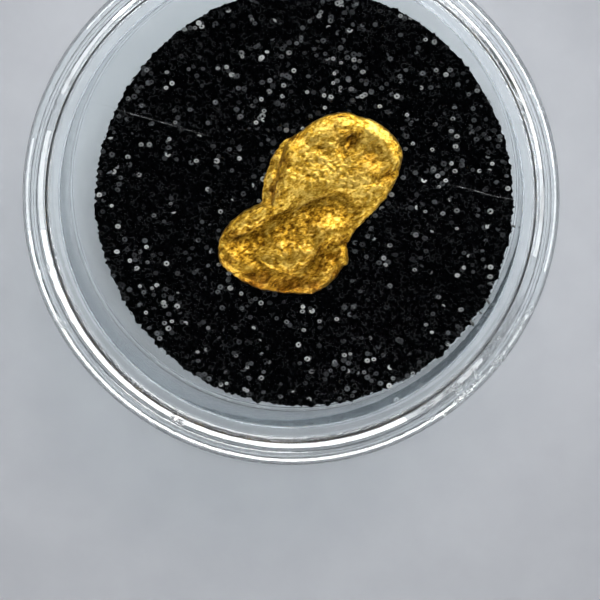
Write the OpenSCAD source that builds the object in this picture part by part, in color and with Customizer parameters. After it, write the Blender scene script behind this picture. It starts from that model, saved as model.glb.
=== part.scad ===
// A low clear vial for showing a gold nugget: a cup with a thin upright neck, a press-on lid
// with a raised rounded rim, a disc of black foam, and the nugget lying on it.
// Millimetres. +Z is up, the origin is the middle of the foot, and the vial stands on Z = 0.

/* [Vial] */
// Outside diameter across the lid's rim
vial_d = 30; // [29:0.5:40]
// Depth inside, from the cup's floor to the top of its neck
inner_depth = 8; // [6.5:0.5:15]
// Thickness of the cup's floor above its foot ring's plane
floor_t = 1.2; // [1:0.1:1.6]
// Thickness of the neck's wall at the mouth
neck_wall = 0.7; // [0.6:0.05:0.8]
// How much wider the cup is at its mouth than at its floor, on the radius
neck_draft = 0.1; // [0:0.05:0.3]

/* [Foot] */
// Height of the flange that the lid stands on
flange_h = 1.8; // [1.7:0.1:2.4]
// Depth of the recess inside the foot ring
foot_recess = 0.3; // [0.1:0.05:0.4]
// Radius of the rounded lower edge of the flange
foot_round = 0.5; // [0.2:0.1:0.8]

/* [Lid] */
// Width of the raised rim around the window
rim_w = 1.35; // [1.2:0.05:1.5]
// Thickness of the window
window_t = 1; // [0.8:0.1:1.4]
// Height of the rim's widest line above the window
rim_rise = 0.55; // [0.4:0.05:0.7]
// How far the rim stands out past the skirt
rim_overhang = 0.2; // [0.1:0.05:0.25]
// Gap between the neck and the skirt, on the radius
lid_gap = 0.05; // [0.03:0.01:0.1]

/* [Foam] */
// Diameter of the foam disc
foam_d = 24; // [22:0.5:24]
// Thickness of the foam disc
foam_t = 3.2; // [2:0.1:3.5]
// Distance of the foam's middle from the vial's axis
foam_shift = 0.75; // [0:0.05:0.75]
// Direction in which the foam is shifted, in degrees from +X
foam_dir = -35; // [-180:5:180]

/* [Nugget] */
// Greatest thickness of the nugget
nugget_h = 1.45; // [1:0.05:2]
// Place of the nugget's middle along X
nugget_x = 1.1; // [-2:0.1:2]
// Place of the nugget's middle along Y
nugget_y = -0.8; // [-2:0.1:2]

/* [Hidden] */
$fn = 96;

// Radii
rim_r = vial_d / 2;
window_r = rim_r - rim_w;
bead_r = rim_w / 2;
skirt_r = rim_r - rim_overhang;
mouth_r = window_r - neck_wall;
floor_r = mouth_r - neck_draft;
recess_r = floor_r + 0.1;
corner_r = 0.1;
lip_r = 0.15;
gate_r = 0.9;

// Heights
neck_top = floor_t + inner_depth;
rest_gap = 0.02;
skirt_z = flange_h + rest_gap;
window_z = neck_top + lid_gap;
window_top = window_z + window_t;
bead_z = window_top + rim_rise;
foam_z = floor_t + rest_gap;
nugget_z = foam_z + foam_t + rest_gap;

// The nugget's outline: its radius every 20 degrees from +X, as a rounded foot with a waist.
NUGGET_R = [3.9, 5.2, 6.1, 5.9, 5.1, 4.2, 3.8, 3.3, 3.0, 3.3, 5.6, 6.0, 5.5, 5.2, 4.7, 3.8, 2.9, 3.1];
NUGGET_STEP = 360 / len(NUGGET_R);
NUGGET_SIDES = 60;
// Share of the outline's radius, and of the thickness, on the way from the underside to the top.
NUGGET_EDGE = 0.16;
NUGGET_RINGS = [
    [0.82, 0],
    [0.95, 0.4 * NUGGET_EDGE],
    [1, NUGGET_EDGE],
    for (share = [0.98, 0.94, 0.88, 0.8, 0.68, 0.54, 0.38, 0.2])
        [share, NUGGET_EDGE + (1 - NUGGET_EDGE) * pow(1 - pow(share, 3), 0.65)]
];
// The nugget dips between its two lobes, which lie along this direction in degrees from +X.
NUGGET_AXIS = 50;
NUGGET_DIP = 0.24;
NUGGET_DIP_W = 2;

// A smooth curve through four neighbouring values, at t between the middle two.
function smooth(a, b, c, d, t) =
    b + 0.5 * t * (c - a + t * (2 * a - 5 * b + 4 * c - d + t * (3 * (b - c) + d - a)));

function outline_r(angle) =
    let (
        n = len(NUGGET_R),
        place = angle / NUGGET_STEP,
        i = floor(place)
    )
    smooth(
        NUGGET_R[(i + n - 1) % n], NUGGET_R[i % n], NUGGET_R[(i + 1) % n], NUGGET_R[(i + 2) % n],
        place - i
    );

function dip(x, y) =
    let (along = x * cos(NUGGET_AXIS) + y * sin(NUGGET_AXIS))
    1 - NUGGET_DIP * exp(-pow(along / NUGGET_DIP_W, 2));

function nugget_ring(ring) = [
    for (i = [0 : NUGGET_SIDES - 1])
        let (
            angle = i * 360 / NUGGET_SIDES,
            x = outline_r(angle) * ring[0] * cos(angle),
            y = outline_r(angle) * ring[0] * sin(angle)
        )
        [x, y, nugget_h * ring[1] * dip(x, y)]
];

module base_cup() {
    color("gainsboro", 0.4) {
        rotate_extrude() {
            // Foot ring, floor and flange
            polygon([
                [0, foot_recess],
                [recess_r, foot_recess],
                [recess_r, 0],
                [skirt_r - foot_round, 0],
                for (a = [-75 : 15 : 0]) [
                    skirt_r - foot_round + foot_round * cos(a),
                    foot_round + foot_round * sin(a)
                ],
                [skirt_r, flange_h],
                [window_r, flange_h],
                [window_r, neck_top - lip_r],
                [window_r - lip_r, neck_top],
                [mouth_r + lip_r, neck_top],
                [mouth_r, neck_top - lip_r],
                [floor_r, floor_t + corner_r],
                [floor_r - corner_r, floor_t],
                [0, floor_t]
            ]);
        }
        // Mark left by the mould's gate, in the recess
        translate([0, 0, foot_recess / 2]) cylinder(h = foot_recess, r = gate_r, $fn = 48);
    }
}

module lid() {
    color("whitesmoke", 0.35)
        rotate_extrude() {
            translate([0, window_z]) square([skirt_r, window_t]);
            translate([window_r + lid_gap, skirt_z]) square([skirt_r - window_r - lid_gap, bead_z - skirt_z]);
            translate([window_r, window_z]) square([bead_r, bead_z - window_z]);
            translate([rim_r - bead_r, bead_z]) circle(bead_r, $fn = 64);
        }
}

module foam_pad() {
    color("black")
        translate([foam_shift * cos(foam_dir), foam_shift * sin(foam_dir), foam_z])
            cylinder(h = foam_t, d = foam_d);
}

module gold_nugget() {
    rings = len(NUGGET_RINGS);
    last = rings * NUGGET_SIDES;
    points = [
        for (ring = NUGGET_RINGS) each nugget_ring(ring),
        [0, 0, 0],
        [0, 0, nugget_h * dip(0, 0)]
    ];
    faces = [
        for (k = [0 : rings - 2], i = [0 : NUGGET_SIDES - 1])
            let (
                j = (i + 1) % NUGGET_SIDES,
                low = k * NUGGET_SIDES,
                high = low + NUGGET_SIDES
            )
            each [[low + i, high + i, high + j], [low + i, high + j, low + j]],
        for (i = [0 : NUGGET_SIDES - 1])
            let (
                j = (i + 1) % NUGGET_SIDES,
                top = last - NUGGET_SIDES
            )
            each [[i, j, last], [top + j, top + i, last + 1]]
    ];
    color("goldenrod")
        translate([nugget_x, nugget_y, nugget_z])
            polyhedron(points, faces);
}

base_cup();
lid();
foam_pad();
gold_nugget();
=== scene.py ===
import math

import bpy
import numpy as np
from mathutils import Matrix, Vector


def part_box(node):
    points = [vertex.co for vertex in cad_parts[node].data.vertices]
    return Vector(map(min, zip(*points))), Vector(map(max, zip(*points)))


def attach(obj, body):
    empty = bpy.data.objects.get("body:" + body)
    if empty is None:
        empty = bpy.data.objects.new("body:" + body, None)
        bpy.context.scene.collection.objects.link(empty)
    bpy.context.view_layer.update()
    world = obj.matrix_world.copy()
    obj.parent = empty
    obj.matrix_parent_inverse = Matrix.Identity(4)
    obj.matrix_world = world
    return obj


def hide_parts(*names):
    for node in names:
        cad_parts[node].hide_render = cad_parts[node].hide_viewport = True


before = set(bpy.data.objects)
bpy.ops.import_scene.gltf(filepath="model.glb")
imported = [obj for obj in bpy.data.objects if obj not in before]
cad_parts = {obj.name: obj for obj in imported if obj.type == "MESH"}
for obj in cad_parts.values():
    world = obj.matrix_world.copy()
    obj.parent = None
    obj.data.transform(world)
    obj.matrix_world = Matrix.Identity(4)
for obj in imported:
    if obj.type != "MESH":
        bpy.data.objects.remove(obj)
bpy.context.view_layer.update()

# A low clear vial with a press-on lid, a disc of black foam and a natural gold nugget.
# Everything is in metres in the row frame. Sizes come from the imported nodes' boxes and the measures below.

MM = 0.001
CUP_LOW, CUP_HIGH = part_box("base_cup")
LID_LOW, LID_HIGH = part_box("lid")
FOAM_LOW, FOAM_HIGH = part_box("foam_pad")
NUGGET_LOW, NUGGET_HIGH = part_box("gold_nugget")

# Widths and heights that the clear mouldings share
RIM_R = LID_HIGH.x
RIM_W = 1.35 * MM
BEAD_R = RIM_W / 2
BEAD_Z = LID_HIGH.z - BEAD_R
WINDOW_R = RIM_R - RIM_W
WINDOW_TOP = BEAD_Z - 0.55 * MM
WINDOW_T = 1 * MM
LID_GAP = 0.05 * MM
SKIRT_R = CUP_HIGH.x
MOUTH_R = WINDOW_R - 0.7 * MM
FLOOR_R = MOUTH_R - 0.1 * MM
FLOOR_Z = FOAM_LOW.z - 0.02 * MM
FLANGE_Z = LID_LOW.z - 0.02 * MM
RECESS = 0.3 * MM
TURNS = 320


# --- Outlines and meshes ---

def arc(centre, radius, start, end, steps):
    """Points (r, z) along an arc, from one angle to another in degrees."""
    angles = np.radians(np.linspace(start, end, steps + 1))
    return [(centre[0] + radius * math.cos(a), centre[1] + radius * math.sin(a)) for a in angles]


def rounded(corners, steps=6, hold=0.03 * MM):
    """An outline from corners (r, z, radius), each rounded, with a point before and after its curve."""
    points = []
    for i, (x, z, radius) in enumerate(corners):
        here = np.array((x, z))
        if radius == 0:
            points.append((x, z))
            continue
        back = np.array(corners[i - 1][:2]) - here
        ahead = np.array(corners[i + 1][:2]) - here
        back /= np.linalg.norm(back)
        ahead /= np.linalg.norm(ahead)
        half = math.acos(np.clip(back @ ahead, -1, 1)) / 2
        reach = radius / math.tan(half)
        middle = (back + ahead) / np.linalg.norm(back + ahead)
        centre = here + middle * radius / math.sin(half)
        first = here + back * reach - centre
        last = here + ahead * reach - centre
        start = math.atan2(first[1], first[0])
        turn = (math.atan2(last[1], last[0]) - start + math.pi) % (2 * math.pi) - math.pi
        points.append(tuple(here + back * (reach + hold)))
        points += arc(centre, radius, math.degrees(start), math.degrees(start + turn), steps)
        points.append(tuple(here + ahead * (reach + hold)))
    return points


def new_piece(name, points, faces, material, body):
    """A smooth mesh piece that rides on a CAD body and takes the material it is given."""
    mesh = bpy.data.meshes.new(name)
    mesh.from_pydata([tuple(p) for p in points], [], faces)
    mesh.validate()
    mesh.shade_smooth()
    mesh.materials.append(material)
    piece = bpy.data.objects.new(name, mesh)
    bpy.context.scene.collection.objects.link(piece)
    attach(piece, body)
    return piece


def turned(name, outline, material, body):
    """A solid turned about Z from an outline that starts and ends on the axis, going anticlockwise."""
    angles = np.linspace(0, 2 * math.pi, TURNS, endpoint=False)
    points = [(0, 0, outline[0][1])]
    for r, z in outline[1:-1]:
        points += [(r * math.cos(a), r * math.sin(a), z) for a in angles]
    points.append((0, 0, outline[-1][1]))
    faces = []
    rings = len(outline) - 2
    for i in range(TURNS):
        j = (i + 1) % TURNS
        faces.append((0, 1 + j, 1 + i))
        for k in range(rings - 1):
            low = 1 + k * TURNS
            high = low + TURNS
            faces.append((low + i, low + j, high + j, high + i))
        top = 1 + (rings - 1) * TURNS
        faces.append((top + i, top + j, len(points) - 1))
    return new_piece(name, points, faces, material, body)


def paint(piece, name, values):
    """Gives each point of a piece a number that its material reads."""
    layer = piece.data.attributes.new(name, "FLOAT", "POINT")
    layer.data.foreach_set("value", np.asarray(values, dtype=np.float32))


def disc_from_square(n):
    """Points of a square grid laid evenly on the unit disc."""
    line = np.linspace(-1, 1, n)
    a, b = np.meshgrid(line, line, indexing="ij")
    wide = np.abs(a) > np.abs(b)
    radius = np.where(wide, a, b)
    with np.errstate(divide="ignore", invalid="ignore"):
        angle = np.where(wide, math.pi / 4 * b / a, math.pi / 2 - math.pi / 4 * a / b)
    angle = np.nan_to_num(angle)
    return np.stack([radius * np.cos(angle), radius * np.sin(angle)], axis=-1)


def grid_faces(n):
    """The outer ring of a square grid's points, and the grid's faces."""
    index = np.arange(n * n).reshape(n, n)
    ring = np.concatenate([index[:-1, 0], index[-1, :-1], index[:0:-1, -1], index[0, :0:-1]])
    faces = np.stack([index[:-1, :-1], index[1:, :-1], index[1:, 1:], index[:-1, 1:]], axis=-1)
    return ring, faces.reshape(-1, 4).tolist()


def with_rings(top, faces, ring, rings, foot):
    """Closes a grid below: rings of points joined on from its outer ring, and a last point under them."""
    count = len(top)
    for _ in rings:
        new_ring = count + np.arange(len(ring))
        corners = [ring, new_ring, np.roll(new_ring, -1), np.roll(ring, -1)]
        faces += np.stack(corners, axis=-1).tolist()
        ring = new_ring
        count += len(ring)
    faces += [(int(a), count, int(b)) for a, b in zip(ring, np.roll(ring, -1))]
    return np.concatenate([top, *rings, np.array([foot])]), faces


# --- Noise that is the same on every run ---

def scatter(cells, seed):
    """A number from 0 to 1 for each integer cell."""
    h = np.full(cells.shape[:-1], seed * 747796405 + 2891336453, np.uint64)
    for k in range(cells.shape[-1]):
        cell = cells[..., k].astype(np.int64).astype(np.uint64)
        h = h ^ (cell * np.uint64(2654435761 + 97 * k))
        h = h * np.uint64(6364136223846793005) + np.uint64(1442695040888963407)
        h = h ^ (h >> np.uint64(29))
    return (h >> np.uint64(11)).astype(float) / 2 ** 53


def soft_noise(points, seed):
    """Smooth noise from -1 to 1 at points given in units of its wavelength."""
    base = np.floor(points)
    t = points - base
    t = t * t * (3 - 2 * t)
    total = 0
    for corner in np.ndindex(*(2,) * points.shape[-1]):
        share = np.prod(np.where(corner, t, 1 - t), axis=-1)
        total = total + share * scatter(base + corner, seed)
    return 2 * total - 1


def rough_noise(points, octaves, seed, fall=0.5):
    """Layers of smooth noise, each half the size of the last and weaker by the share given."""
    total = 0
    for k in range(octaves):
        total = total + soft_noise(points * 2 ** k + 11.3 * k, seed + k) * fall ** k
    return total


# --- Materials ---

def new_material(name):
    material = bpy.data.materials.new(name)
    material.use_nodes = True
    tree = material.node_tree
    tree.nodes.clear()
    return material, tree


def node(tree, kind, settings=None, **inputs):
    """Adds a node. Settings are its own fields; an input is a value or another node's output."""
    made = tree.nodes.new(kind)
    for key, value in (settings or {}).items():
        setattr(made, key, value)
    for key, value in inputs.items():
        socket = made.inputs[int(key[1:])] if key[1:].isdigit() else made.inputs[key.replace("_", " ")]
        if isinstance(value, bpy.types.NodeSocket):
            tree.links.new(value, socket)
        else:
            socket.default_value = value
    return made


def own_coordinates(tree):
    return node(tree, "ShaderNodeTexCoord").outputs["Object"]


def noise_at(tree, place, size, detail=3, roughness=0.5):
    """Noise from 0 to 1 with features of about this size in metres."""
    made = node(
        tree, "ShaderNodeTexNoise", Vector=place, Scale=1 / size, Detail=detail, Roughness=roughness,
    )
    return made.outputs["Fac"]


def maths(tree, operation, a, b):
    return node(tree, "ShaderNodeMath", {"operation": operation}, i0=a, i1=b).outputs[0]


def vector_maths(tree, operation, a, b=(0, 0, 0), result="Vector"):
    return node(tree, "ShaderNodeVectorMath", {"operation": operation}, i0=a, i1=b).outputs[result]


def remap(tree, value, low, high, to_low, to_high):
    """Eases a value from one range over to another, and holds it at the ends."""
    made = node(
        tree, "ShaderNodeMapRange", {"interpolation_type": "SMOOTHSTEP"},
        Value=value, From_Min=low, From_Max=high, To_Min=to_low, To_Max=to_high,
    )
    return made.outputs["Result"]


def ramp(tree, value, stops):
    """Colour by value, from (position, (r, g, b)) stops."""
    made = node(tree, "ShaderNodeValToRGB", Fac=value)
    band = made.color_ramp
    while len(band.elements) < len(stops):
        band.elements.new(0.5)
    for element, (place, colour) in zip(band.elements, stops):
        element.position = place
        element.color = (*colour, 1)
    return made.outputs["Color"]


def bump(tree, height, distance, strength=1.0, under=None):
    """A normal bent by a height, on top of another one where there is one."""
    made = node(tree, "ShaderNodeBump", Height=height, Distance=distance, Strength=strength)
    if under is not None:
        tree.links.new(under, made.inputs["Normal"])
    return made.outputs["Normal"]


def finish(tree, surface):
    output = node(tree, "ShaderNodeOutputMaterial")
    tree.links.new(surface, output.inputs["Surface"])


# The way to the side of the vial that has been rubbed most
HANDLED_WAY = (math.cos(math.radians(-42)), math.sin(math.radians(-42)), 0)


def clear_plastic(name, tint, scuffed, haze):
    """Moulded polystyrene: clear, slightly wavy, rubbed here and there outside, with dust on its neck."""
    material, tree = new_material(name)
    place = own_coordinates(tree)
    flat_place = vector_maths(tree, "MULTIPLY", place, (1, 1, 0))
    from_axis = vector_maths(tree, "LENGTH", flat_place, result="Value")
    outside = remap(tree, from_axis, WINDOW_R, WINDOW_R + 0.3 * MM, 0, 1)
    waves = noise_at(tree, place, 4 * MM, 2)
    grain = noise_at(tree, place, 0.25 * MM, 4, 0.65)
    patches = remap(tree, noise_at(tree, place, 2.6 * MM, 3), 0.62, 0.74, 0, scuffed)
    toward = vector_maths(tree, "DOT_PRODUCT", flat_place, HANDLED_WAY, "Value")
    handled = remap(tree, maths(tree, "DIVIDE", toward, from_axis), 0.94, 0.98, 0, scuffed)
    mottled = remap(tree, noise_at(tree, place, 0.8 * MM, 3), 0.4, 0.6, 0, 1)
    handled = maths(tree, "MULTIPLY", handled, mottled)
    patches = maths(tree, "MULTIPLY", maths(tree, "MAXIMUM", patches, handled), outside)
    rubbed = maths(tree, "MULTIPLY", patches, remap(tree, grain, 0.42, 0.6, 0, 1))
    roughness = remap(tree, rubbed, 0, 1, 0.015, 0.45)
    normal = bump(tree, waves, 0.0015 * MM)
    normal = bump(tree, maths(tree, "MULTIPLY", rubbed, grain), 0.025 * MM, 1.0, normal)
    shader = node(
        tree, "ShaderNodeBsdfPrincipled", Base_Color=(*tint, 1), Roughness=roughness, IOR=1.59,
        Transmission_Weight=1.0, Normal=normal,
    )
    past_floor = remap(tree, from_axis, FLOOR_R - 0.2 * MM, FLOOR_R - 0.05 * MM, 0, 1)
    before_skirt = remap(tree, from_axis, MOUTH_R + 0.1 * MM, MOUTH_R + 0.3 * MM, 1, 0)
    uneven = remap(tree, noise_at(tree, place, 0.6 * MM, 3), 0.2, 0.8, haze * 0.6, haze)
    dust = maths(tree, "MULTIPLY", maths(tree, "MULTIPLY", past_floor, before_skirt), uneven)
    veil = node(tree, "ShaderNodeBsdfDiffuse", Color=(0.5, 0.58, 0.66, 1))
    dusty = node(tree, "ShaderNodeMixShader", i0=dust, i1=shader.outputs[0], i2=veil.outputs[0])
    through = node(tree, "ShaderNodeBsdfTransparent", Color=(*(0.96 * c for c in tint), 1))
    shadow = node(tree, "ShaderNodeLightPath").outputs["Is Shadow Ray"]
    mixed = node(tree, "ShaderNodeMixShader", i0=shadow, i1=dusty.outputs[0], i2=through.outputs[0])
    finish(tree, mixed.outputs[0])
    return material


def black_foam():
    """Cut closed-cell foam: near black, with thin grey lines where cell walls catch the light."""
    material, tree = new_material("black_foam")
    place = own_coordinates(tree)
    fine = noise_at(tree, place, 0.12 * MM, 4, 0.7)
    which = noise_at(tree, place, 0.5 * MM, 2, 0.6)
    bent = node(tree, "ShaderNodeTexNoise", Vector=place, Scale=1 / (0.3 * MM), Detail=2).outputs["Color"]
    bent = vector_maths(tree, "MULTIPLY", bent, (0.3 * MM,) * 3)
    bent = vector_maths(tree, "ADD", place, bent)
    wall = node(
        tree, "ShaderNodeTexVoronoi", {"feature": "DISTANCE_TO_EDGE"}, Vector=bent, Scale=1 / (0.36 * MM),
    ).outputs["Distance"]
    edge = remap(tree, wall, 0.02, 0.12, 1, 0)
    lit = maths(tree, "MULTIPLY", edge, remap(tree, which, 0.5, 0.72, 0, 1))
    lit = maths(tree, "MULTIPLY", lit, remap(tree, fine, 0.42, 0.62, 0.2, 1))
    colour = ramp(tree, lit, [(0.0, (0.0003, 0.0004, 0.0005)), (0.4, (0.0036, 0.0038, 0.0042)),
                              (1.0, (0.022, 0.023, 0.025))])
    roughness = remap(tree, fine, 0.3, 0.7, 0.7, 0.9)
    shader = node(
        tree, "ShaderNodeBsdfPrincipled", Base_Color=colour, Roughness=roughness, Specular_IOR_Level=0.0,
        Normal=bump(tree, fine, 0.08 * MM),
    )
    finish(tree, shader.outputs[0])
    return material


def cell_film():
    """Skins of cut cells that catch the light, each with its own brightness."""
    material, tree = new_material("cell_film")
    shade = node(tree, "ShaderNodeAttribute", {"attribute_name": "shade"}).outputs["Fac"]
    colour = ramp(tree, shade, [(0.0, (0.0005, 0.0006, 0.0007)), (0.5, (0.0075, 0.008, 0.009)),
                                (0.8, (0.035, 0.037, 0.04)), (1.0, (0.21, 0.21, 0.21))])
    mottle = noise_at(tree, own_coordinates(tree), 0.08 * MM, 2)
    roughness = remap(tree, mottle, 0.3, 0.7, 0.35, 0.6)
    shader = node(
        tree, "ShaderNodeBsdfPrincipled", Base_Color=colour, Roughness=roughness, Specular_IOR_Level=0.08,
        Normal=bump(tree, mottle, 0.01 * MM),
    )
    finish(tree, shader.outputs[0])
    return material


def native_gold():
    """Worn placer gold: rich yellow on the high grain and where light is painted, brown-amber in the pores
    and where shade is painted.
    """
    material, tree = new_material("native_gold")
    place = own_coordinates(tree)
    # The two point numbers carry painted light and painted shade as well as the grain's own tone
    grain_and_painted_light = node(tree, "ShaderNodeAttribute", {"attribute_name": "grain_and_painted_light"}).outputs["Fac"]
    painted_shade_fac = node(tree, "ShaderNodeAttribute", {"attribute_name": "painted_shade"}).outputs["Fac"]
    turn = (0, 0, math.radians(-35))
    drawn = node(tree, "ShaderNodeMapping", Vector=place, Rotation=turn, Scale=(0.55, 1, 1)).outputs[0]
    grain = noise_at(tree, drawn, 0.1 * MM, 3, 0.65)
    streaks = noise_at(tree, drawn, 0.3 * MM, 3, 0.6)
    lift = maths(tree, "ADD", maths(tree, "MULTIPLY", grain_and_painted_light, 0.45), maths(tree, "MULTIPLY", grain, 0.55))
    gold = ramp(tree, lift, [(0.34, (0.11, 0.046, 0.002)), (0.45, (0.3, 0.16, 0.012)),
                             (0.54, (0.46, 0.265, 0.027)), (0.66, (0.8, 0.53, 0.115))])
    # Darkens the gold towards brown-amber where shade is painted
    amber = node(
        tree, "ShaderNodeMix", {"data_type": "RGBA", "blend_type": "MULTIPLY"},
        i0=painted_shade_fac, i6=gold, i7=(0.38, 0.27, 0.16, 1),
    )
    roughness = remap(tree, lift, 0.3, 0.65, 0.5, 0.34)
    normal = bump(tree, streaks, 0.04 * MM)
    normal = bump(tree, grain, 0.04 * MM, 1.0, normal)
    shader = node(
        tree, "ShaderNodeBsdfPrincipled", Base_Color=amber.outputs[2], Metallic=1.0, Roughness=roughness,
        Normal=normal,
    )
    finish(tree, shader.outputs[0])
    return material


def studio_floor():
    """A plain pale surface, very faintly mottled."""
    material, tree = new_material("studio_floor")
    speck = noise_at(tree, own_coordinates(tree), 3 * MM, 3)
    colour = ramp(tree, speck, [(0.3, (0.315, 0.325, 0.35)), (0.7, (0.335, 0.345, 0.37))])
    shader = node(tree, "ShaderNodeBsdfPrincipled", Base_Color=colour, Roughness=0.8)
    finish(tree, shader.outputs[0])
    return material


# --- The clear mouldings ---

def make_cup():
    """The cup: foot ring, floor, flange and thin neck, with every edge slightly rounded."""
    corners = [
        (0, RECESS, 0),
        (FLOOR_R, RECESS, 0.12 * MM),
        (FLOOR_R + 0.12 * MM, CUP_LOW.z, 0.12 * MM),
        (SKIRT_R, CUP_LOW.z, 0.5 * MM),
        (SKIRT_R, FLANGE_Z, 0.12 * MM),
        (WINDOW_R, FLANGE_Z, 0.08 * MM),
        (WINDOW_R, CUP_HIGH.z, 0.15 * MM),
        (MOUTH_R, CUP_HIGH.z, 0.15 * MM),
        (FLOOR_R, FLOOR_Z, 0.1 * MM),
        (0, FLOOR_Z, 0),
    ]
    material = clear_plastic("cup_plastic", (0.97, 0.985, 0.985), 0.3, 0.075)
    cup = turned("clear_cup", rounded(corners), material, "cup")
    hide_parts("base_cup")


def make_gate_mark():
    """The small round mark that the mould's gate leaves under the floor."""
    low = CUP_LOW.z + 0.12 * MM
    radius = 0.9 * MM
    outline = rounded([
        (0, low, 0),
        (radius, low, 0.06 * MM),
        (radius + 0.08 * MM, RECESS - 0.005 * MM, 0.03 * MM),
        (0, RECESS - 0.005 * MM, 0),
    ])
    turned("gate_mark", outline, bpy.data.materials["cup_plastic"], "cup")


# How far the bead leans from level, in degrees, at distances from its middle line, from the outside in: a
# narrow crown between two even slopes, with a tight turn down on each side
BEAD_LEAN = [
    (BEAD_R, 90), (0.44 * MM, 41.5), (0.21 * MM, 36),
    (-0.21 * MM, -42), (-0.56 * MM, -47.5), (-BEAD_R, -90),
]
BEAD_STEPS = 12
TUCK_R = 0.3 * MM


def bead_outline():
    """The bead from the outside of the skirt, over its crown to its inner side, as joined arcs."""
    middle = RIM_R - BEAD_R
    over = [(BEAD_LEAN[0][0], 0.0)]
    for (start, lean), (end, next_lean) in zip(BEAD_LEAN[:-1], BEAD_LEAN[1:]):
        z = over[-1][1]
        leans = np.radians(np.linspace(lean, next_lean, BEAD_STEPS + 1))
        first = leans[0]
        radius = (end - start) / (math.sin(leans[-1]) - math.sin(first))
        for a in leans[1:]:
            across = start + radius * (math.sin(a) - math.sin(first))
            over.append((across, z + radius * (math.cos(a) - math.cos(first))))
    crest = max(height for _, height in over)
    over = [(middle + across, LID_HIGH.z - crest + height) for across, height in over]
    tuck_turn = math.degrees(math.acos((SKIRT_R - RIM_R + TUCK_R) / TUCK_R))
    tuck = arc((RIM_R - TUCK_R, over[0][1]), TUCK_R, -tuck_turn, 0, 8)
    return tuck[:-1] + over


def make_lid():
    """The lid: flat window, raised round rim, and the skirt that slides over the neck."""
    inner = WINDOW_R + LID_GAP
    window_low = WINDOW_TOP - WINDOW_T
    below = rounded([
        (0, window_low, 0),
        (inner, window_low, 0.1 * MM),
        (inner, LID_LOW.z, 0.1 * MM),
        (SKIRT_R, LID_LOW.z, 0.15 * MM),
        (SKIRT_R, BEAD_Z - 0.5 * MM, 0),
    ])
    above = rounded([
        (WINDOW_R, BEAD_Z - 0.1 * MM, 0),
        (WINDOW_R, WINDOW_TOP, 0.18 * MM),
        (0, WINDOW_TOP, 0),
    ], 8)
    outline = below + bead_outline() + above
    material = clear_plastic("lid_plastic", (0.975, 0.985, 0.985), 0.6, 0.0)
    lid = turned("clear_lid", outline, material, "cover")
    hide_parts("lid")


# --- The foam ---

FOAM_CELL = 0.42 * MM
FOAM_GRID = 260
FOAM_SIDE_RINGS = 30
# The top's and the side's reach as shares of the pad's radius
TOP_REACH = 0.994
SIDE_REACH = 0.988
CELL_DEPTH = 0.16 * MM
SIDE_CELL_DEPTH = 0.1 * MM
SWELL_SIZE = 2.5 * MM
SWELL_HEIGHT = 0.04 * MM
TEAR_SIZE = 0.5 * MM
TEAR_DEPTH = 0.06 * MM


def cell_relief(points, size, seed):
    """How far each point is from its cell's wall, as a share of the cell, and its cell's own number."""
    base = np.floor(points / size)
    near = np.full(len(points), 9.0)
    second = near.copy()
    owner = np.zeros(len(points))
    for step in np.ndindex(3, 3):
        cell = base + np.array(step) - 1
        jitter = np.stack([scatter(cell, seed), scatter(cell, seed + 1)], axis=-1)
        gap = np.linalg.norm(points / size - cell - 0.1 - 0.8 * jitter, axis=-1)
        closer = gap < near
        second = np.where(closer, near, np.minimum(second, gap))
        owner = np.where(closer, scatter(cell, seed + 2), owner)
        near = np.where(closer, gap, near)
    return second - near, owner


def foam_edge(angle):
    """The foam disc's radius as cut by hand: slightly uneven, and ragged where cells are cut open."""
    around = np.stack([np.cos(angle), np.sin(angle)], axis=-1)
    slow = rough_noise(around * 2.2, 2, 5)
    ragged = rough_noise(around * 70, 2, 9, 0.9)
    return 1 + 0.004 * slow + 0.007 * ragged - 0.01 * np.abs(rough_noise(around * 34, 1, 14))


def foam_top(centre, radius):
    """The points of the disc's top: open cells over slow swells, with a ragged edge."""
    flat = disc_from_square(FOAM_GRID)
    angle = np.arctan2(flat[..., 1], flat[..., 0])
    reach = np.linalg.norm(flat, axis=-1)
    share = 1 + (foam_edge(angle) - 1) * reach ** 8
    place = (flat * share[..., None]).reshape(-1, 2) * radius * TOP_REACH
    wall, owner = cell_relief(place, FOAM_CELL, 31)
    open_depth = CELL_DEPTH * (0.35 + 0.65 * owner)
    hollow = np.clip(wall / 0.45, 0, 1)
    hollow = hollow * hollow * (3 - 2 * hollow)
    swell = rough_noise(place / SWELL_SIZE, 3, 17)
    height = -open_depth * hollow + SWELL_HEIGHT * (swell - 1)
    return np.column_stack([place + np.array(centre.xy), FOAM_HIGH.z + height])


def foam_side(rim, centre, radius):
    """The points of the disc's side, ring by ring downwards: torn, with its cells cut open too."""
    outward = rim[:, :2] - np.array(centre.xy)
    rim_reach = np.linalg.norm(outward, axis=-1)
    outward /= rim_reach[:, None]
    along = np.unwrap(np.arctan2(outward[:, 1], outward[:, 0])) * radius
    rings = []
    for k in range(1, FOAM_SIDE_RINGS + 1):
        down = k / FOAM_SIDE_RINGS
        z = np.full(len(rim), FOAM_HIGH.z + (FOAM_LOW.z - FOAM_HIGH.z) * down)
        side = np.column_stack([along, z])
        wall, owner = cell_relief(side, FOAM_CELL, 47)
        dent = SIDE_CELL_DEPTH * np.clip(wall / 0.5, 0, 1) * (0.3 + owner)
        torn = TEAR_DEPTH * np.abs(rough_noise(side / TEAR_SIZE, 2, 66))
        plain = SIDE_REACH * radius - torn
        reach = plain + (rim_reach - plain) * (1 - down) ** 5 - dent
        rings.append(np.column_stack([np.array(centre.xy) + outward * reach[:, None], z]))
    return rings


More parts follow.
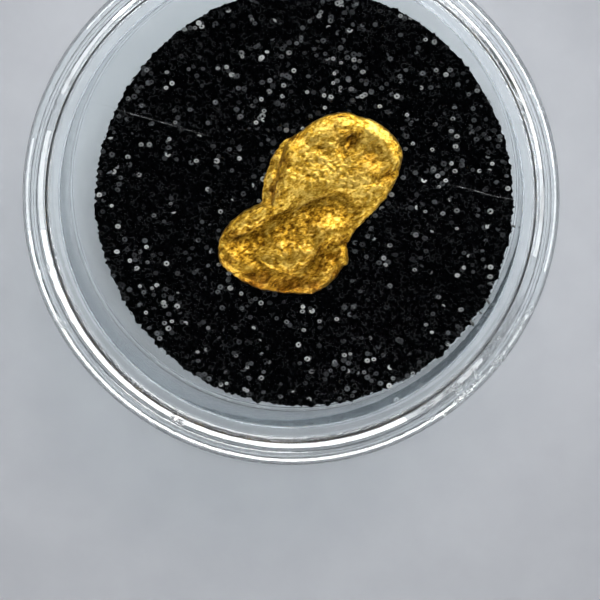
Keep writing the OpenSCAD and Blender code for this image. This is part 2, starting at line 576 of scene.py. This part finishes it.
def make_foam():
    """The foam disc as one closed mesh: its top, its side, and a flat underside."""
    centre = (FOAM_LOW + FOAM_HIGH) / 2
    radius = (FOAM_HIGH.x - FOAM_LOW.x) / 2
    top = foam_top(centre, radius)
    ring, faces = grid_faces(FOAM_GRID)
    rings = foam_side(top[ring], centre, radius)
    points, faces = with_rings(top, faces, ring, rings, (centre.x, centre.y, FOAM_LOW.z))
    foam = new_piece("black_foam_disc", points, faces, black_foam(), "pad")
    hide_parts("foam_pad")


FLECKS = 5200
FLECK_STEPS = 9


def make_flecks():
    """Skins of cut cells, thrown over the foam: bright rings with a dark middle, and dim bent strips, their
    glints painted into their colour.
    """
    rng = np.random.default_rng(7)
    centre = (FOAM_LOW + FOAM_HIGH) / 2
    reach = (FOAM_HIGH.x - FOAM_LOW.x) / 2 - 0.2 * MM
    at_edge = rng.random(FLECKS) < 0.05
    away = reach * np.where(at_edge, 0.965 + 0.035 * rng.random(FLECKS), np.sqrt(rng.random(FLECKS)))
    turn = rng.random(FLECKS) * 2 * math.pi
    spot = np.stack([away * np.cos(turn), away * np.sin(turn)], axis=-1)
    crowd = rough_noise(spot / (1.8 * MM), 2, 21)
    # The bright flecks are painted glints: the light they catch is set in their colour
    bright = rng.random(FLECKS) < 0.17 * (1 + 0.9 * crowd)
    size = (0.115 + 0.065 * rng.random(FLECKS)) * MM
    shade = np.where(bright, 0.45 + 0.55 * rng.random(FLECKS), 0.5 * rng.random(FLECKS) ** 0.7)
    hole = np.where(bright, 0.1 + 0.28 * rng.random(FLECKS), 0.62 + 0.25 * rng.random(FLECKS))
    whole = bright & (rng.random(FLECKS) < 0.8)
    span = np.where(whole, 1, 0.25 + 0.4 * rng.random(FLECKS)) * 2 * math.pi
    start = rng.random(FLECKS) * 2 * math.pi
    squeeze = 0.75 + 0.25 * rng.random(FLECKS)
    lean = rng.normal(0, 0.2, (FLECKS, 2))
    sink = np.where(bright, 0.015, 0.05 * rng.random(FLECKS)) * MM
    angle = start[:, None] + span[:, None] * np.linspace(0, 1, FLECK_STEPS + 1)
    rows = []
    for share, depth in [(np.ones(FLECKS), -0.14), ((1 + hole) / 2, 0.0), (hole, -0.16)]:
        x = size[:, None] * share[:, None] * np.cos(angle)
        y = size[:, None] * share[:, None] * squeeze[:, None] * np.sin(angle)
        z = size[:, None] * depth + lean[:, :1] * x + lean[:, 1:] * y - sink[:, None]
        rows.append(np.stack([x, y, z], axis=-1))
    points = np.stack(rows, axis=1)
    points[..., 0] += (centre.x + spot[:, 0])[:, None, None]
    points[..., 1] += (centre.y + spot[:, 1])[:, None, None]
    points[..., 2] += FOAM_HIGH.z
    points[..., 2] = np.minimum(points[..., 2], FOAM_HIGH.z + 0.02 * MM)
    index = np.arange(points.size // 3).reshape(FLECKS, 3, FLECK_STEPS + 1)
    corners = [index[:, :-1, :-1], index[:, 1:, :-1], index[:, 1:, 1:], index[:, :-1, 1:]]
    faces = np.stack(corners, axis=-1).reshape(-1, 4).tolist()
    flecks = new_piece("foam_flecks", points.reshape(-1, 3), faces, cell_film(), "pad")
    paint(flecks, "shade", np.repeat(shade, 3 * (FLECK_STEPS + 1)))


# Shreds of foam at the disc's edge: angle in degrees, height and width in mm
SHREDS = [(-29.3, 2.2, 0.13), (-36.3, 1.9, 0.18), (-33.0, 0.7, 0.1), (-9.0, 0.9, 0.12)]
SHRED_SIDES = 10
SHRED_LEVELS = 9


def make_shreds():
    """Torn shreds that stand up from the foam's edge and lean on the cup's wall."""
    rng = np.random.default_rng(23)
    points = []
    faces = []
    sides = SHRED_SIDES
    for angle, height, width in SHREDS:
        turn = math.radians(angle)
        out = Vector((math.cos(turn), math.sin(turn), 0))
        along = Vector((-math.sin(turn), math.cos(turn), 0))
        start = len(points)
        for i in range(SHRED_LEVELS):
            share = (i + 0.5) / SHRED_LEVELS
            girth = 0.5 * width * MM * math.sin(math.pi * share) ** 0.5
            middle = out * (FLOOR_R - (0.6 * width + 0.25 * (1 - share) ** 3) * MM)
            for k in range(sides):
                a = 2 * math.pi * k / sides
                ragged = girth * (0.8 + 0.4 * rng.random())
                place = middle + out * (ragged * math.cos(a)) + along * (ragged * math.sin(a))
                points.append((place.x, place.y, FOAM_HIGH.z + (height * share - 0.1) * MM))
        for i in range(SHRED_LEVELS - 1):
            for k in range(sides):
                low = start + i * sides
                j = (k + 1) % sides
                faces.append((low + k, low + j, low + sides + j, low + sides + k))
        faces.append([start + k for k in reversed(range(sides))])
        faces.append([start + (SHRED_LEVELS - 1) * sides + k for k in range(sides)])
    new_piece("foam_crumbs", points, faces, bpy.data.materials["black_foam"], "pad")


# --- Scratches ---

# Hairline scratches on the window: their points in mm
SCRATCHES = [
    [(-12.6, 5.8), (-11.2, 5.45), (-9.4, 4.8), (-7.2, 4.2), (-4.5, 3.4)],
    [(8.6, 0.8), (10.1, 0.45), (11.3, 0.1), (12.5, -0.1)],
]


def worn_scratch():
    """The frosted plastic of a scratch, fainter here and there."""
    material, tree = new_material("worn_scratch")
    mottle = noise_at(tree, own_coordinates(tree), 0.5 * MM, 3)
    roughness = remap(tree, mottle, 0.3, 0.7, 0.3, 0.5)
    shader = node(
        tree, "ShaderNodeBsdfPrincipled", Base_Color=(0.5, 0.52, 0.54, 1), Roughness=roughness,
        Alpha=remap(tree, mottle, 0.35, 0.65, 0.02, 0.16),
    )
    finish(tree, shader.outputs[0])
    return material


def make_scratches():
    """Two hairlines in the window's face, each a low ridge that thins out at both ends."""
    points = []
    faces = []
    for line in SCRATCHES:
        line = np.array(line)
        stretch = np.linspace(0, len(line) - 1, 8 * (len(line) - 1) + 1)
        x = np.interp(stretch, np.arange(len(line)), line[:, 0])
        y = np.interp(stretch, np.arange(len(line)), line[:, 1])
        way = np.stack([np.gradient(x), np.gradient(y)], axis=-1)
        way /= np.linalg.norm(way, axis=-1)[:, None]
        half = 0.018 * np.sqrt(np.sin(np.pi * np.linspace(0.01, 0.99, len(x))))
        start = len(points)
        for i in range(len(x)):
            side = np.array((-way[i, 1], way[i, 0])) * half[i]
            for share, height in [(-1, 0.0), (0, 0.006), (1, 0.0)]:
                points.append(((x[i] + share * side[0]) * MM, (y[i] + share * side[1]) * MM,
                               WINDOW_TOP + (0.001 + height) * MM))
        for i in range(len(x) - 1):
            low = start + 3 * i
            faces += [(low, low + 3, low + 4, low + 1), (low + 1, low + 4, low + 5, low + 2)]
            faces += [(low + 2, low + 5, low + 3, low)]
        faces += [(start, start + 1, start + 2), (len(points) - 1, len(points) - 2, len(points) - 3)]
    new_piece("window_scratches", points, faces, worn_scratch(), "cover")


# --- The nugget ---

# The outline's radius in mm every 15 degrees from +X, about the nugget's middle
NUGGET_R = [3.85, 4.85, 5.95, 6.05, 5.85, 5.45, 4.65, 4.05, 3.8, 3.4, 3.1, 2.95,
            3.4, 5.15, 6.15, 5.95, 5.55, 5.2, 5.0, 4.45, 3.8, 3.0, 2.85, 3.15]
# Nicks and knobs of the outline: angle and width in degrees, height in mm
OUTLINE_KNOBS = [
    (-58, 4, 0.16), (-49, 4, -0.14), (176, 6, -0.3), (112, 5, 0.12), (24, 4, -0.12), (60, 6, -0.08),
]
NUGGET_MIDDLE = Vector((1.1 * MM, -0.8 * MM))
NUGGET_GRID = 300
# Width of the rounded edge in mm, and the heights of its start and of the top as shares of the full height
EDGE_WIDTH = 0.95
EDGE_SHARE = 0.34
TOP_SHARE = 0.84
# The outline's size and its height as shares, ring by ring down the side and in under the nugget
UNDERSIDE = [(0.995, 0.26), (0.985, 0.18), (0.965, 0.11), (0.93, 0.05), (0.88, 0.015), (0.8, 0), (0.4, 0)]

# Ridges and troughs on the top: points in mm, widths left and right of the way they run, height
CREASES = [
    ([(-4.4, -2.2), (-3.2, -1.9), (-2.2, -1.4), (-1.1, -0.8), (0.0, -0.3), (1.6, 0.1)], 0.95, 0.75, -0.3),
    ([(-1.0, 0.0), (-0.2, 0.4), (0.7, 0.8), (1.7, 1.1), (2.4, 1.1)], 1.3, 0.25, 0.1),
    ([(-4.1, -1.2), (-3.1, -0.5), (-2.3, 0.0), (-1.75, 0.7), (-1.45, 1.6), (-1.3, 2.4), (-1.2, 3.2)],
     0.3, 0.6, 0.26),
    ([(2.2, 4.75), (3.2, 4.45), (4.1, 3.85), (4.7, 3.25), (4.85, 2.5)], 0.2, 0.5, 0.15),
    ([(2.0, -2.3), (1.3, -2.6), (0.6, -2.9), (0.2, -3.4), (-0.8, -4.1), (-2.0, -4.6)], 0.4, 0.5, -0.22),
    ([(0.0, 4.0), (0.9, 4.2), (1.7, 4.5)], 0.3, 0.35, 0.08),
    ([(1.3, 4.3), (1.5, 3.8), (1.6, 3.2)], 0.3, 0.14, -0.14),
    ([(4.9, 1.9), (4.2, 1.7), (3.6, 1.3)], 0.15, 0.3, -0.12),
    ([(-3.4, -3.0), (-2.5, -3.6), (-1.6, -3.8)], 0.2, 0.3, -0.08),
]
# Bumps and pits on the top: middle in mm, two radii, turn in degrees, height
SWELLS = [
    ((2.2, 3.75), (0.7, 0.36), 50, -0.36),
    ((0.5, 3.3), (0.4, 0.26), 10, -0.09),
    ((3.4, 3.0), (0.5, 0.35), 30, -0.1),
    ((3.5, 1.9), (0.9, 0.4), 20, 0.08),
    ((1.0, -1.3), (1.0, 0.6), -10, 0.2),
    ((2.5, 0.75), (1.2, 0.6), 10, 0.1),
    ((2.4, -0.6), (0.9, 0.4), 50, -0.08),
    ((-3.9, -1.75), (0.7, 0.25), 35, -0.12),
    ((-1.3, -2.7), (1.5, 0.8), 14, 0.2),
    ((-4.3, -3.0), (0.7, 0.6), 60, 0.2),
    ((0.9, -3.9), (0.9, 0.6), 40, 0.14),
    ((1.7, -2.85), (0.28, 0.4), -20, 0.2),
    ((2.05, -2.35), (0.16, 0.3), 40, -0.2),
    ((-2.3, 1.6), (0.3, 0.5), -20, 0.16),
    ((-2.1, 0.75), (0.25, 0.2), 0, -0.16),
    ((-1.95, 2.6), (0.25, 0.4), 10, 0.14),
    ((-2.45, 1.15), (0.16, 0.2), 0, 0.12),
]
# Painted shade, tinted brown-amber, on the lower edges, on slopes that face away from the light, in pits and
# along troughs: middle in mm, radius, strength
PAINTED_SHADE_SPOTS = [
    ((2.2, 3.7), 0.55, 0.45), ((-2.1, 2.3), 0.5, 0.3), ((-2.2, 0.7), 0.45, 0.6), ((-1.7, -1.2), 1.0, 0.3),
    ((1.8, 0.6), 0.6, 0.2), ((0.3, -4.6), 1.2, 0.8), ((-1.2, -4.7), 1.2, 0.95), ((-3.1, -4.3), 1.2, 0.95),
    ((4.0, 0.9), 0.9, 0.1), ((-4.3, -1.9), 0.75, 0.85), ((0.5, 3.3), 0.35, 0.3), ((1.9, -2.0), 0.5, 0.4),
    ((-1.7, -2.5), 1.3, 0.3), ((-4.6, -3.2), 0.8, 0.6), ((1.7, -0.2), 1.0, 0.2), ((0.9, -1.3), 0.7, 0.4),
    ((0.2, -3.0), 1.4, 0.45), ((1.5, -3.7), 1.1, 1.0), ((1.5, -2.0), 0.7, 0.45), ((-0.9, 3.7), 0.6, 0.4),
    ((1.4, 5.4), 0.7, 0.8), ((3.3, 2.6), 0.7, 0.6), ((-1.0, -2.3), 0.8, 0.6), ((-3.5, -1.2), 0.8, 0.4),
    ((-1.6, 2.6), 0.35, 0.7), ((-1.85, 1.7), 0.35, 0.7), ((-2.0, 0.9), 0.35, 0.7), ((-2.4, 2.7), 0.5, 0.4),
    ((4.3, 1.8), 0.6, 0.5), ((4.6, 4.2), 0.8, 0.5), ((0.0, -1.2), 0.7, 0.4), ((2.0, -1.2), 0.6, 0.4),
]
# Painted light, on spots of the top that are lit: middle in mm, radius, strength
PAINTED_LIGHT_SPOTS = [
    ((1.4, 1.6), 1.0, 0.9), ((2.6, 1.0), 0.9, 0.8), ((0.4, 2.6), 0.9, 0.6), ((3.4, 4.2), 0.8, 0.8),
    ((3.0, 3.3), 0.6, 0.6), ((-5.6, -2.0), 0.5, 0.8), ((0.8, 0.0), 0.9, 0.5), ((0.6, -0.8), 0.7, 0.35),
    ((0.8, 3.8), 0.7, 0.7), ((-0.4, 0.2), 0.8, 0.5),
]


def closed_curve(values, angles):
    """Smoothly joined values that are evenly spaced round a circle."""
    values = np.array(values)
    place = (angles / (2 * math.pi) % 1) * len(values)
    i = np.floor(place).astype(int)
    t = place - i
    a, b, c, d = (values[(i + k) % len(values)] for k in (-1, 0, 1, 2))
    return b + 0.5 * t * (c - a + t * (2 * a - 5 * b + 4 * c - d + t * (3 * (b - c) + d - a)))


def nugget_outline(angle):
    """The outline's radius in mm at each angle, with its knobs and a slightly uneven edge."""
    radius = closed_curve(NUGGET_R, angle)
    for middle, width, height in OUTLINE_KNOBS:
        away = (np.degrees(angle) - middle + 180) % 360 - 180
        radius = radius + height * np.exp(-(away / width) ** 2)
    around = np.stack([np.cos(angle), np.sin(angle)], axis=-1)
    return radius + 0.035 * rough_noise(around * 9, 3, 41)


def crease(place, line, left, right, height):
    """A ridge or trough along a line of points, with its own width on each side."""
    nearest = np.full(len(place), 1e9)
    leftward = np.zeros(len(place))
    for start, end in zip(line[:-1], line[1:]):
        way = np.array(end) - np.array(start)
        gap = place - np.array(start)
        t = np.clip((gap @ way) / (way @ way), 0, 1)
        gap = gap - t[:, None] * way
        distance = np.linalg.norm(gap, axis=-1)
        closer = distance < nearest
        nearest = np.where(closer, distance, nearest)
        leftward = np.where(closer, way[0] * gap[:, 1] - way[1] * gap[:, 0], leftward)
    width = np.where(leftward > 0, left, right)
    return height * np.exp(-(nearest / width) ** 2)


def shelf_drop(place):
    """From 0 to 1 on the low shelf along the upper left side, which lies left of a steep step."""
    step_x = np.interp(place[:, 1], [0.2, 1.2, 2.3, 3.4, 4.2], [-2.15, -1.95, -1.75, -1.35, -0.9])
    past = np.clip((step_x - place[:, 0]) / 0.22, 0, 1)
    within = np.clip((place[:, 1] + 0.1) / 0.5, 0, 1) * np.clip((4.4 - place[:, 1]) / 0.7, 0, 1)
    return past * past * (3 - 2 * past) * within


def bumps(place):
    """Height in mm that the ridges, troughs, bumps and pits add at each place on the top."""
    total = 0.07 * rough_noise(place / 1.7, 2, 55)
    for line, left, right, height in CREASES:
        total += crease(place, line, left, right, height)
    for middle, (long, short), turn, height in SWELLS:
        a = math.radians(turn)
        gap = place - np.array(middle)
        u = gap @ (math.cos(a), math.sin(a)) / long
        v = gap @ (-math.sin(a), math.cos(a)) / short
        total += height * np.exp(-(u * u + v * v))
    return 1.25 * total


def spotted(place, spots, seed):
    """How strongly each place is marked by soft, ragged spots, from 0 to 1."""
    total = np.zeros(len(place))
    for middle, radius, strength in spots:
        away = np.linalg.norm(place - np.array(middle), axis=-1)
        total = np.maximum(total, strength * np.exp(-(away / radius) ** 2))
    return np.clip(total * (1 + 0.5 * rough_noise(place / 0.5, 2, seed)), 0, 1)


def make_nugget():
    """The nugget as one closed mesh: its worked top, and a plain rounded side and underside."""
    full = (NUGGET_HIGH.z - NUGGET_LOW.z) / MM
    flat = disc_from_square(NUGGET_GRID).reshape(-1, 2)
    share = np.linalg.norm(flat, axis=-1)
    radius = nugget_outline(np.arctan2(flat[:, 1], flat[:, 0]))
    place = flat * radius[:, None]
    inward = np.clip((1 - share) * radius / EDGE_WIDTH, 0, 1)
    dome = np.sqrt(1 - (1 - inward) ** 2)
    relief = bumps(place) - 0.45 * shelf_drop(place)
    height = EDGE_SHARE * full + ((TOP_SHARE - EDGE_SHARE) * full + relief) * dome
    top = np.column_stack([place, np.maximum(height, 0.3 * full)])

    ring, faces = grid_faces(NUGGET_GRID)
    edge = top[ring]
    rings = []
    for shrink, lift in UNDERSIDE:
        rings.append(np.column_stack([edge[:, :2] * shrink, np.full(len(edge), lift * full)]))
    points, faces = with_rings(top, faces, ring, rings, (0.0, 0.0, 0.0))
    heights = bumps(points[:, :2])
    # Painted shade, tinted brown-amber: darker on the listed spots and where the relief lies low
    painted_shade_map = np.maximum(spotted(points[:, :2], PAINTED_SHADE_SPOTS, 91), np.clip(-0.6 * heights, 0, 0.2))
    # Painted light: the listed lit spots, made lighter
    rubbed = spotted(points[:, :2], PAINTED_LIGHT_SPOTS, 97)
    points *= MM
    points[:, :2] += np.array(NUGGET_MIDDLE)
    points[:, 2] += NUGGET_LOW.z
    nugget = new_piece("native_nugget", points, faces, native_gold(), "specimen")
    on_top = points[:, 2] > 0.3 * full * MM + NUGGET_LOW.z
    # Lighter on the high relief and the lit spots, darker on the low relief: painted light and shade over
    # the grain
    grain_and_painted_light = roughen(nugget) + np.where(on_top, 0.45 * heights + 0.3 * rubbed, 0)
    paint(nugget, "grain_and_painted_light", grain_and_painted_light)
    paint(nugget, "painted_shade", painted_shade_map)
    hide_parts("gold_nugget")


def roughen(piece):
    """Pushes the surface in and out along its normals, and gives each point a tone from 0 to 1: the grain's
    own tone, with painted light where the surface is pushed out and painted shade where it sinks.
    """
    mesh = piece.data
    count = len(mesh.vertices)
    place = np.empty(count * 3)
    normal = np.empty(count * 3)
    mesh.vertices.foreach_get("co", place)
    mesh.vertices.foreach_get("normal", normal)
    place = place.reshape(-1, 3)
    normal = normal.reshape(-1, 3)
    hollows = rough_noise(place / (0.9 * MM), 2, 61)
    pores = 0.8 - 2.6 * np.abs(rough_noise(place / (0.42 * MM), 2, 71, 0.6))
    lengthwise = 0.55 * (place @ (0.82, 0.57, 0))
    crosswise = place @ (-0.57, 0.82, 0)
    grain = rough_noise(np.stack([lengthwise, crosswise, place[:, 2]], axis=-1) / (0.13 * MM), 2, 83, 0.7)
    push = 0.04 * hollows + 0.016 * pores + 0.016 * grain
    moved = place + normal * push[:, None] * MM
    excess = moved[:, 2].max() - NUGGET_LOW.z
    moved[:, 2] = NUGGET_LOW.z + (moved[:, 2] - NUGGET_LOW.z) * (NUGGET_HIGH.z - NUGGET_LOW.z) / excess
    moved[:, 2] = np.maximum(moved[:, 2], NUGGET_LOW.z)
    mesh.vertices.foreach_set("co", moved.reshape(-1))
    mesh.update()
    # The tone follows the push: painted light on what stands out, painted shade in what sinks in, over the
    # grain's tone
    return np.clip(0.51 + 0.07 * hollows + 0.08 * pores + 0.32 * grain, 0, 1)


# --- Studio ---

CAMERA_AWAY = 300 * MM
CAMERA_OFFSET = Vector((6.5 * MM, 21 * MM))
AIM = Vector((0.515 * MM, -5.705 * MM))
VIEW_WIDTH = 33.54 * MM
SENSOR = 36.0
LIGHT_AWAY = 0.6


def make_camera():
    """Nearly straight above, leaning over from the far side, as a phone held over the vial."""
    place = Vector((*CAMERA_OFFSET, BEAD_Z + CAMERA_AWAY))
    aim = Vector((*AIM, BEAD_Z))
    back = (place - aim).normalized()
    right = Vector((0, 1, 0)).cross(back).normalized()
    up = back.cross(right)
    data = bpy.data.cameras.new("camera")
    data.sensor_width = SENSOR
    data.lens = SENSOR * (place - aim).length / VIEW_WIDTH
    data.clip_start = 10 * MM
    camera = bpy.data.objects.new("camera", data)
    camera.matrix_world = Matrix.Translation(place) @ Matrix((right, up, back)).transposed().to_4x4()
    bpy.context.scene.collection.objects.link(camera)
    bpy.context.scene.camera = camera


def make_softbox(name, azimuth, elevation, away, size, power):
    """A soft light at an azimuth and an elevation in degrees from the vial, facing it."""
    data = bpy.data.lights.new(name, "AREA")
    data.shape = "RECTANGLE"
    data.size, data.size_y = size
    data.energy = power
    light = bpy.data.objects.new(name, data)
    a = math.radians(azimuth)
    e = math.radians(elevation)
    aim = Vector((0, 0, BEAD_Z))
    out = Vector((math.cos(a) * math.cos(e), math.sin(a) * math.cos(e), math.sin(e)))
    light.location = aim + out * away
    light.rotation_mode = "QUATERNION"
    light.rotation_quaternion = (-out).to_track_quat("-Z", "Y")
    light.visible_camera = False
    bpy.context.scene.collection.objects.link(light)


def make_light_arc(name, start, end, panels, elevation, height, brightness):
    """Softboxes side by side along an arc of azimuths, all equally tall in degrees, with dimmer ends."""
    away = LIGHT_AWAY
    step = (end - start) / panels
    wide = 2 * away * math.cos(math.radians(elevation)) * math.tan(math.radians(step / 2))
    tall = 2 * away * math.tan(math.radians(height / 2))
    power = brightness * math.pi * wide * tall
    for i in range(panels):
        share = 0.3 if i in (0, panels - 1) else 1
        azimuth = start + (i + 0.5) * step
        make_softbox(f"{name}_{i + 1}", azimuth, elevation, away, (wide, tall), share * power)


def make_world():
    """A pale room with a dark ceiling, so that the lid's flat window reflects little."""
    world = bpy.data.worlds.new("studio")
    bpy.context.scene.world = world
    world.use_nodes = True
    tree = world.node_tree
    way = node(tree, "ShaderNodeTexCoord").outputs["Generated"]
    rise = node(tree, "ShaderNodeSeparateXYZ", Vector=way).outputs["Z"]
    colour = ramp(tree, rise, [(0.0, (0.5, 0.52, 0.56)), (0.3, (0.28, 0.3, 0.33)),
                               (0.75, (0.012, 0.012, 0.014)), (1.0, (0.004, 0.004, 0.005))])
    tree.links.new(colour, tree.nodes["Background"].inputs["Color"])


def make_studio():
    """The pale floor, the room and the lights."""
    half = 3.0
    corners = [(-half, -half, 0), (half, -half, 0), (half, half, 0), (-half, half, 0)]
    mesh = bpy.data.meshes.new("studio_floor")
    mesh.from_pydata(corners, [], [(0, 1, 2, 3)])
    mesh.materials.append(studio_floor())
    floor = bpy.data.objects.new("studio_floor", mesh)
    floor.location.z = CUP_LOW.z - 0.01 * MM
    bpy.context.scene.collection.objects.link(floor)
    make_world()
    make_softbox("top", 70, 52, LIGHT_AWAY, (0.36, 0.26), 3.8)
    make_light_arc("low_back", -20, 144, 7, 5, 8, 20)
    make_light_arc("low_front", 171, 331, 8, 5, 8, 17.5)


make_camera()
make_studio()
make_cup()
make_gate_mark()
make_lid()
make_foam()
make_flecks()
make_shreds()
make_scratches()
make_nugget()

view = bpy.context.scene.view_settings
view.view_transform = "Standard"
